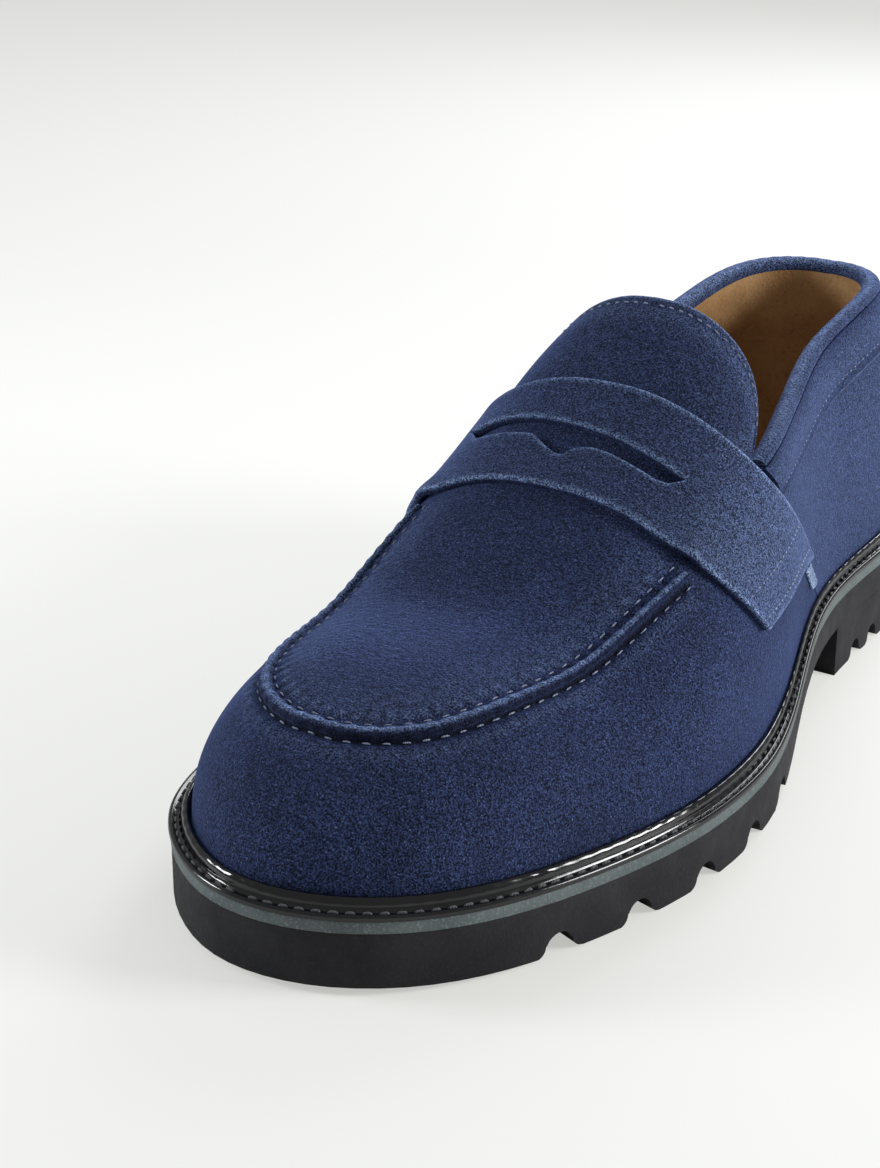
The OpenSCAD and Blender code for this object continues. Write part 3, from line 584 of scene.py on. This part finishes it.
near = (np.abs(i) < 4.7) * 1.
d = suede_out + near * (-.35 * np.exp(-((x - 2.7) / .8)**2) * (.6 + .4 * np.cos(ph)) + .24 * np.cos(ph) * np.exp(
    -((x - 2.8) / 2.8)**2) + .45 * np.exp(-(x / 1.4)**2)) + .25 * sstep(x / 14)
d = d + .14 * lumps(P, 30) * sstep(x / 10)
# the apron is painted darker along the groove beside the seam (painted shade), with lighter patches at the stitch pulls
# further in
wear_and_painted_light = near * (-.22 * np.exp(-((x - 2.3) / .5)**2) + .16 * np.exp(-((x - 4.6) / 1.4)**2) * (.6 + .4 * np.cos(ph))
    + .06 * np.exp(-((x - 9) / 4)**2)) + .03
V, F = shell(P + N * d[..., None], P + N * suede_in)
make("apron_suede", V, F, M_SUEDE, "apron", wear_and_painted_light=np.concatenate([wear_and_painted_light.ravel(), wear_and_painted_light.ravel() * 0]))

# seam ridge with the pull of each stitch
C, T, W, N = frames(SEAM, suede_out + .1)
ph = seam_phase(SK)[:, None]
an = np.linspace(-.25, np.pi + .25, 13)[None, :]
slim = 1 - .3 * sstep((np.abs(SK)[:, None] - 2.4) / 2.2)
rad = 1.7 * slim * (1 + .06 * np.cos(ph) + .04 * np.sin(ph * .37 + 1))
up = 1.5 * (1 + .08 * np.cos(ph))
cap = np.sqrt(np.clip(1 - (1 - np.clip((4.76 - np.abs(SK)) / .05, 0, 1))**2, .02, 1))[:, None]
S = C[:, None] + W[:, None] * (cap * rad * np.cos(an))[..., None] + N[:, None] * (cap * up * np.sin(an))[..., None]
# light along its apron side, partly rubbed wear and partly painted highlight, and painted shade towards the vamp
to_apron = np.sign(np.sum(W * (pt(SK, SEAM[1] + .02, np.zeros(len(SK))) - pt(*SEAM, np.zeros(len(SK)))), axis=-1))[:,
    None]
over_ridge = np.cos(an) * to_apron
w2 = .62 * np.exp(-((over_ridge - .3) / .42)**2) * (.8 + .2 * np.cos(ph)) + .08 - .75 * sstep((-.25 - over_ridge) / .5)
V, F = tube(S)
make("seam_ridge", V, F, M_SUEDE, "apron_piping", wear_and_painted_light=w2, angle=75)

# stitches of the seam
inner = (SK, SEAM[1] + .038)
outer = (SK, SEAM[1] - .037)
stitches("seam_stitches", [inner, outer], suede_out - .05, PITCH, 1.9, .34, .28, M_THREAD_B, "apron_stitching")

# ---------------------------------------------------------------- quarters, lining, collar
nb, nh = 240, 40


def back_i(u, v):
    k = break_line(v * .46)
    for _ in range(3):
        k = break_line(v * topline(k))
    m = 11 - np.abs(u) * (11 - (k + .014))
    return np.where(u < 0, m, 22 - m)


def back_block(u0, u1, n, m):
    u = np.linspace(u0, u1, n + 1)[:, None]
    v = 1 - (1 - np.linspace(0, 1, m + 1)[None, :])**1.15
    i = back_i(u, v)
    return (*entry(i, v * topline(mirror_i(i))), v)


for name, node, u0, u1 in (("quarter_outer_side", "quarter_lateral", -1, 0), ("quarter_inner_side", "quarter_medial",
    0, 1)):
    P, N, v = back_block(u0, u1, nb, nh)
    d = suede_out + .22 * lumps(P, 34) * sstep(v / .15) * sstep((1 - v) / .1)
    V, F = shell(P + N * d[..., None], P + N * suede_in)
    # both quarters are lifted a little towards the lighter worn colour all over: painted light
    make(name, V, F, M_SUEDE, node, wear_and_painted_light=np.full(len(V), .13))
P, N, v = back_block(-1, 1, 2 * nb, nh)
V, F = shell(P + N * lining_out, P + N * lining_in)
make("quarter_lining_leather", V, F, M_LINE, "quarter_lining")

na2 = 200
r = np.linspace(-1, 1, na2 + 1)[:, None]
bb = np.linspace(0, 2, 61)[None, :]
s0 = seam(r * break_line(seam(r * 5.9)))
t = np.where(bb <= 1, s0 * (1 - np.clip(1 - bb, 0, 1)**1.25), s0 + (1 - s0) * (bb - 1))
i = r * break_line(t)
P, N = entry(i, t)
P[:, -1] = (P[:, -1] + P[::-1, -1]) / 2
N[:, -1] = unit(N[:, -1] + N[::-1, -1])
V, F = shell(P + N * lining_out, P + N * lining_in)
F = [f for f in F]
make("vamp_lining_leather", V, F, M_LINE, "vamp_lining")


u = np.linspace(-1, 1, 481)
q = np.concatenate([[0, .012, .03, .06], np.linspace(.1, 1, 15)])[None, :]
m = 11 - np.abs(u)[:, None] * (11 - (break_line(topline(6.03) - .004 - .095 * (1 - q)) + .075))
tt = topline(m) - .004 - .095 * (1 - q)
P, N = entry(np.where(u[:, None] < 0, m, 22 - m), tt)
rise = np.sqrt(np.clip(1 - (1 - np.clip(q / .06, 0, 1))**2, 0, 1))
d = band_in + (band_out - band_in) * (.25 + .75 * rise) + .55 * np.sin(np.pi * np.clip((q - .2) / .8, 0,
    1))**.8 - .3 * np.exp(-((q - .17) / .05)**2) + 0 * tt
# lighter along the band's lower edge (rubbed wear), and lifted lighter across its middle: painted light
wear_and_painted_light = .55 * np.exp(-(q / .035)**2) + .16 * np.sin(np.pi * np.clip(q, 0, 1)) + 0 * tt
V, F = shell(P + N * d[..., None], P + N * band_in)
make("collar_band_suede", V, F, M_SUEDE, "collar_band",
    wear_and_painted_light=np.concatenate([wear_and_painted_light.ravel(), wear_and_painted_light.ravel() * 0]))
m = 11 - np.abs(u) * 4.82
stitches("collar_stitches", [(np.where(u < 0, m, 22 - m), topline(m) - .079)], band_out - .3, 3.0, 1.5, .42, .36,
    M_THREAD_B, "collar_stitching")

u = np.linspace(-1, 1, 521)
m = 11 - np.abs(u) * (11 - 5.96)
bi = np.where(u < 0, m, 22 - m)
P, N = entry(bi, topline(m) + .001)
T = unit(np.gradient(P, axis=0))
U = unit(np.cross(N, T))
U = np.where(U[:, 2:] < 0, -U, U)
C = P + N * ((lining_in + band_out) / 2) + U * .3
an = np.linspace(-.2, np.pi + .2, 17)[None, :]
hw = (band_out - lining_in) / 2 + .1
S = C[:, None] + N[:, None] * (hw * np.cos(an))[..., None] + U[:, None] * (2.3 * np.clip(np.sin(an), -.15, 1)**1
    * (1 + .03 * np.sin(u * 160))[:, None])[..., None]
wear_and_painted_light = .12 + .45 * np.clip(np.sin(an), 0, 1)**4 + 0 * u[:, None]
V, F = tube(S)
make("topline_binding_suede", V, F, M_SUEDE, "topline_binding", wear_and_painted_light=wear_and_painted_light, angle=75)

rr = np.concatenate([[-2, -1.93, -1.8], np.linspace(-1.6, 1.6, 13), [1.8, 1.93, 2]])
kk = np.linspace(.05, .35 - .107, 41)
P, N = entry((11 + rr * .17)[:, None], kk[None, :])
edge = 1 - (np.abs(rr) / 2)[:, None]
d = band_in + (band_out - band_in) * (.2 + .8 * sstep(edge / .04)) + 0 * kk[None, :]
wear_and_painted_light = .5 * np.exp(-(edge / .05)**2) + .06 + 0 * kk[None, :]
V, F = shell(P + N * d[..., None], P + N * band_in)
make("back_strip_suede", V, F, M_SUEDE, "back_strip",
    wear_and_painted_light=np.concatenate([wear_and_painted_light.ravel(), wear_and_painted_light.ravel() * 0]))

for s, name, node in ((1, "quarter_edge_outer", "quarter_edge_lateral"), (-1, "quarter_edge_inner",
    "quarter_edge_medial")):
    rr = np.array([0, .04, .12, .3, .6, 1, 1.4, 1.7, 1.88, 1.96, 2.])[:, None]
    tk = np.linspace(.045, .107, 61)[None, :]
    m = break_line(tk) - .1 + .075 * rr
    i = m if s > 0 else 22 - m
    P, N = entry(i, tk + 0 * rr)
    d = band_in + (band_out - band_in) * (.15 + .85 * np.sin(np.pi * np.clip(rr / 2, .0, 1))**.35) + .08 * np.sin(tk
        * 420)
    wear_and_painted_light = .35 + .5 * np.exp(-((rr - .3) / .35)**2) + 0 * tk
    V, F = shell(P + N * d[..., None], P + N * band_in)
    make(name, V, F, M_EDGE, node, wear_and_painted_light=np.concatenate([wear_and_painted_light.ravel(), wear_and_painted_light.ravel() * 0]))

# ---------------------------------------------------------------- strap with its slot
LOW = np.array([[-1, .56], [-.6, .63], [-.48, .655], [-.4, .5], [-.3, .48], [-.215, .465], [-.13, .445], [-.085,
    .375], [-.037, .285], [-.008, .285],
                [.02, .37], [.057, .415], [.125, .405], [.2, .385], [.3, .37], [.343, .4], [.377, .5], [.5, .5], [1,
                    .46]])
HIGH = np.array([[-1, .68], [-.6, .69], [-.48, .668], [-.365, .655], [-.23, .63], [-.085, .6], [.025, .575], [.195,
    .53], [.327, .515], [.377, .512], [.5, .55], [1, .58]])
ws = np.unique(np.concatenate([np.linspace(-1, 1, 381), [-.48, .377]]))
ws = ws[np.concatenate([[True], np.diff(ws) > 5e-4])]
lo, hi = np.interp(ws, LOW[:, 0], LOW[:, 1]), np.interp(ws, HIGH[:, 0], HIGH[:, 1])
soft = lambda v: np.convolve(np.pad(v, 2, mode="edge"), [.1, .2, .4, .2, .1], "valid")
lo, hi = soft(lo), np.maximum(soft(hi), soft(lo) + .004)
a0 = np.concatenate([[0, .01, .03], np.linspace(.07, .93, 18), [.97, .99, 1]])
a1 = np.concatenate([[0, .012, .04], np.linspace(.09, .9, 16), [.955, .985, 1]])
R = np.concatenate([lo[:, None] * a0[None], hi[:, None] + (1 - hi[:, None]) * a1[None]], 1)
i, t = strap_it(ws[:, None], R)
P, N = entry(i, t)
Pm, Nm = entry(-i, t)
k = np.clip((t - .93) / .07, 0, 1)[..., None]**2 * .5
P, N = P * (1 - k) + Pm * k, unit(N * (1 - k) + Nm * k)
for _ in range(14):
    for X in (P, N):
        sm = X.copy()
        sm[1:-1] = X[1:-1] * .5 + (X[2:] + X[:-2]) * .25
        wk = np.exp(-(ws / .1)**2)[:, None, None]
        X[:] = X * (1 - wk) + sm * wk
N = unit(N)
breadth = np.linalg.norm(P[:, -1] - P[:, 0], axis=-1)[:, None]
in_slot = ((ws > -.482) & (ws < .379))[:, None]
front = np.minimum(R, 1 - R) * breadth
lip = np.where(in_slot, np.minimum(np.abs(R - lo[:, None]), np.abs(R - hi[:, None])) * breadth, 99)
ends = (1 - np.abs(ws))[:, None] * 62
near = np.minimum(np.minimum(front, lip), ends)
d = strap_out - .38 * (1 - np.sqrt(np.clip(1 - (1 - np.clip(near / .9, 0, 1))**2, 0, 1))) + .12 * lumps(P, 30)
d = d + .35 * sstep((.4 - np.abs(R - .55)) / .3) * sstep((.75 - np.abs(ws[:, None])) / .3)
over = np.exp(-((t - .575) / .05)**2) * np.exp(-(R / .2)**2)
d = d + 1.1 * over
wear_and_painted_light = .62 * np.exp(-(front / 1.0)**2) + .55 * np.exp(-(lip / .8)**2) + .6 * np.exp(-(ends / .9)**2) + .08
# lighter towards both ends, down the strap's sides: painted light
wear_and_painted_light = wear_and_painted_light + .18 * sstep((np.abs(ws[:, None]) - .25) / .5)
n0 = len(a0)
skip = np.zeros((len(ws) - 1, R.shape[1] - 1), bool)
wm = (ws[1:] + ws[:-1]) / 2
skip[(wm > -.48) & (wm < .377), n0 - 1] = True
V, F = shell(P + N * d[..., None], P + N * (strap_in + 1.0 * over)[..., None], skip)
# the strap's underside is painted near-black and its edge walls fade to it: painted shade under the strap
make("strap_suede", V, F, M_SUEDE, "strap",
    wear_and_painted_light=np.concatenate([np.clip(wear_and_painted_light, 0, 1).ravel(), np.full(wear_and_painted_light.size, -.9)]), bevel=.16)
kk = np.linspace(.05, .95, 60)
stitches("strap_stitches",
    [tuple(np.array(v) for v in strap_it(np.full(60, s * w), kk)) for s in (-1, 1) for w in (.955, .84)], strap_out
        - .1, 2.3, 1.15, .4, .33, M_THREAD_B,
         "strap_stitching")

# ---------------------------------------------------------------- tongue
wt = np.linspace(-1, 1, 241)
wt = np.sign(wt) * (1 - (1 - np.abs(wt))**1.3)
rt = 1 - (1 - np.linspace(0, 1, 61))**1.6
i, t = tongue_it(wt[:, None], rt[None, :])
P, N = entry(i, t)
Pm, Nm = entry(-i, t)
k = np.clip((t - .93) / .07, 0, 1)[..., None]**2 * .5
P, N = P * (1 - k) + Pm * k, unit(N * (1 - k) + Nm * k)
for _ in range(14):
    for X in (P, N):
        sm = X.copy()
        sm[1:-1] = X[1:-1] * .5 + (X[2:] + X[:-2]) * .25
        wk = np.exp(-(wt / .1)**2)[:, None, None]
        X[:] = X * (1 - wk) + sm * wk
N = unit(N)
rim_d = np.minimum(np.linalg.norm(P - P[:, -1:], axis=-1), np.minimum(np.linalg.norm(P - P[:1], axis=-1),
    np.linalg.norm(P - P[-1:], axis=-1)))
d = suede_out - .5 * (1 - np.sqrt(np.clip(1 - (1 - np.clip(rim_d / 1.1, 0, 1))**2, 0, 1))) - .22 * np.exp(
    -((rim_d - 3.2) / .8)**2) + .15 * lumps(P, 30) * sstep(rim_d / 8)
wear_and_painted_light = .7 * np.exp(-(rim_d / .8)**2) + .1 * np.exp(-((rim_d - 5) / 3)**2) + .06
V, F = shell(P + N * d[..., None], P + N * stiff_in)
make("tongue_suede", V, F, M_SUEDE, "tongue", "tongue",
    wear_and_painted_light=np.concatenate([wear_and_painted_light.ravel(), np.full(wear_and_painted_light.size, .5)]))
V, F = shell(P + N * lining_out, P + N * lining_in)
make("tongue_lining_leather", V, F, M_LINE, "tongue_lining", "tongue")
w = np.linspace(.012, .93, 121)
stitches("tongue_stitches", [tuple(np.array(v) for v in tongue_it(s * w, 1 - .1 - .1 * w**8)) for s in (-1, 1)],
    suede_out - .12, 2.8, 1.4, .4, .33, M_THREAD_B, "tongue_stitching", "tongue")

# ---------------------------------------------------------------- welt and its stitches
wi = np.arange(0, 22, .02)
n2, f2 = loop_side(CT, wi), loop(CT, wi)
w = edge_out(wi) - welt_in
z = seat_at(f2[:, 1]) + .1
one = np.ones_like(w)
arc = run(np.c_[f2 + n2 * 8, z])
wav = .07 * np.sin(arc * 2 * np.pi / 5)
S = [(0 * w, 0 * w), (w, 0 * w), (w + .32, .12 * one), (w + .4, .4 * one), (w + .38, WELT * .66 * one), (w + .1,
    WELT * .94 * one), (w - .25, WELT * one), (w - .6, WELT * .92 * one), (w - 1.0, WELT * .68 * one), (w * .6,
        WELT * .56 * one),
     (w * .5, WELT * .7 * one), (w * .47, WELT + .7 * one), (w * .43, WELT + 1.5 * one + wav), (w * .35,
         WELT + 2.15 * one + wav), (w * .24, WELT + 2.45 * one + wav), (w * .12, WELT + 2.3 * one), (0 * w,
             WELT + 1.4 * one)]
S = np.stack([np.c_[f2 + (welt_in + a)[:, None] * n2, seat_at(f2[:, 1] + (welt_in + a) * n2[:, 1]) + .1 + c] for a,
    c in S], 1)
V, F = tube(S, True)
make("welt_rubber", V, F, M_WELT, "welt", angle=60)
i5 = np.interp((np.arange(int(arc[-1] / 3.7)) + .5) * 3.7, arc, wi)
n2, f2 = loop_side(CT, i5), loop(CT, i5)
w = edge_out(i5) - welt_in
C = np.c_[f2 + (welt_in + w * .72)[:, None] * n2, seat_at(f2[:, 1] + (welt_in + w * .72) * n2[:, 1]) + WELT * .78 + .1]
T = np.c_[-n2[:, 1], n2[:, 0], 0 * i5]
W = np.c_[n2, 0 * i5]
V, F = bead(C, T, W, np.tile([0, 0, 1.], (len(i5), 1)), 2.3, .55, .42, 5)
make("welt_stitches", V, F, M_THREAD_W, "welt_stitching", merge=1e-7)


# ---------------------------------------------------------------- sole pieces: the CAD's own shape with its edges softened
def soften(node, mat, width, name):
    src = frame["nodes"][node]
    ob = bpy.data.objects.new(name, src.data.copy())
    bpy.context.scene.collection.objects.link(ob)
    finish_mesh(ob, mat, node, "shoe", fix=False, bevel=width, angle=32, merge=1e-6, flat=True)
    return ob


soften("outsole", M_BLACK, .45, "outsole_rubber")
soften("heel_block", M_BLACK, .45, "heel_rubber")
soften("midsole", M_GREY, .3, "midsole_rubber")
soften("sock_liner", M_SOCK, .5, "sock_leather")
pad = soften("heel_pad", M_FOAM, .4, "heel_pad_foam")

# every other CAD piece keeps its shape and takes a finish
slots_of = {s["node"]: s.get("material_slot") for s in frame["record"]["subparts"]}
for node, ob in frame["nodes"].items():
    mat = BY_SLOT.get(slots_of.get(node), M_STIFF)
    if not ob.material_slots:
        ob.data.materials.append(mat)
    for sl in ob.material_slots:
        sl.material = mat

# ---------------------------------------------------------------- floor, light, camera
FLOOR_SIZE = 50
bpy.ops.mesh.primitive_plane_add(size=FLOOR_SIZE, location=(0, 0, 0))
floor = bpy.context.object
floor.name = "floor"
SWEEP_FROM = (.26577, -.4877, .27029)
mf, nt, bs, co = new_mat("floor_white")
plain_c = mix(nt, ramp(nt, noise(nt, co, 3, 2), .3, .7), (.80, .80, .78), (.83, .83, .81))
bs.inputs["Roughness"].default_value = .6
bs.inputs["Specular IOR Level"].default_value = .2
# the floor glows (painted light), and the glow gets a little darker and lighter again with distance from a fixed point
# of the floor: a painted shade band across the pale sweep
here = nt.nodes.new("ShaderNodeTexCoord")
spot = nt.nodes.new("ShaderNodeVectorMath")
spot.operation = "DISTANCE"
nt.links.new(here.outputs["Object"], spot.inputs[0])
spot.inputs[1].default_value = SWEEP_FROM
painted_glow_tone = nt.nodes.new("ShaderNodeValToRGB")
painted_glow_tone.color_ramp.interpolation = "EASE"
stops = [(.40, .48), (.80, .54), (1.15, .49), (1.75, .51)]
for n, (far, v) in enumerate(stops):
    e = painted_glow_tone.color_ramp.elements[n] if n < 2 else painted_glow_tone.color_ramp.elements.new(far / 2)
    e.position, e.color = far / 2, (v, v * 1.005, v * .965, 1)
nt.links.new(maths(nt, "MULTIPLY", spot.outputs["Value"], .5), painted_glow_tone.inputs["Fac"])
# for the camera the floor takes a darker base and glows instead: painted light that evens out its lighting and softens
# its shadow
ray = nt.nodes.new("ShaderNodeLightPath")
nt.links.new(mix(nt, ray.outputs["Is Camera Ray"], plain_c, (.47, .47, .455)), bs.inputs["Base Color"])
nt.links.new(painted_glow_tone.outputs["Color"], bs.inputs["Emission Color"])
nt.links.new(maths(nt, "MULTIPLY", ray.outputs["Is Camera Ray"], 1.), bs.inputs["Emission Strength"])
floor.data.materials.append(mf)

world = bpy.data.worlds.new("studio")
bpy.context.scene.world = world
world.use_nodes = True
bg = world.node_tree.nodes["Background"]
bg.inputs["Color"].default_value = (.97, .98, 1, 1)
bg.inputs["Strength"].default_value = .32


def area(name, loc, aim, size, power, color=(1, 1, 1), size_y=None):
    li = bpy.data.lights.new(name, "AREA")
    li.energy, li.size, li.color = power, size, color
    if size_y:
        li.shape, li.size_y = "RECTANGLE", size_y
    ob = bpy.data.objects.new(name, li)
    bpy.context.scene.collection.objects.link(ob)
    ob.location = loc
    ob.rotation_euler = (Vector(aim) - Vector(loc)).to_track_quat("-Z", "Y").to_euler()
    return ob


area("key", (1.0, .42, .46), (0, .03, .05), .42, 11.5, (.985, .985, .99))
area("back", (-.15, .95, .62), (0, -.08, .05), .5, 5, (.96, .98, 1))
area("left", (-.85, -.5, .42), (0, -.12, .04), .3, 5.4, (.95, .98, 1))

# the photograph's camera: direction, distance from the point it is aimed at, roll, and focal length in its pixels
az, el, dist, roll = math.radians(33.11), math.radians(22.4), .58551, math.radians(.26)
AIM = (-.02993, -.03427, .04717)
SENSOR, FOCAL_PX, FRAME_PX = 36, 2301, 1168
back = Vector((math.sin(az) * math.cos(el), -math.cos(az) * math.cos(el), math.sin(el)))
right = Vector((math.cos(az), math.sin(az), 0))
up = back.cross(right)
r2 = right * math.cos(roll) + up * math.sin(roll)
u2 = back.cross(r2)
cam = bpy.data.cameras.new("camera")
cam.sensor_fit, cam.sensor_width, cam.sensor_height = "AUTO", SENSOR, SENSOR
cam.lens = SENSOR * FOCAL_PX / FRAME_PX
cam.clip_start, cam.clip_end = .01, 20
co_ = bpy.data.objects.new("camera", cam)
bpy.context.scene.collection.objects.link(co_)
loc = Vector(AIM) + back * dist
co_.matrix_world = Matrix(((r2.x, u2.x, back.x, loc.x), (r2.y, u2.y, back.y, loc.y), (r2.z, u2.z, back.z, loc.z), (0,
    0, 0, 1)))
bpy.context.scene.camera = co_
bpy.context.scene.view_settings.view_transform = "Standard"

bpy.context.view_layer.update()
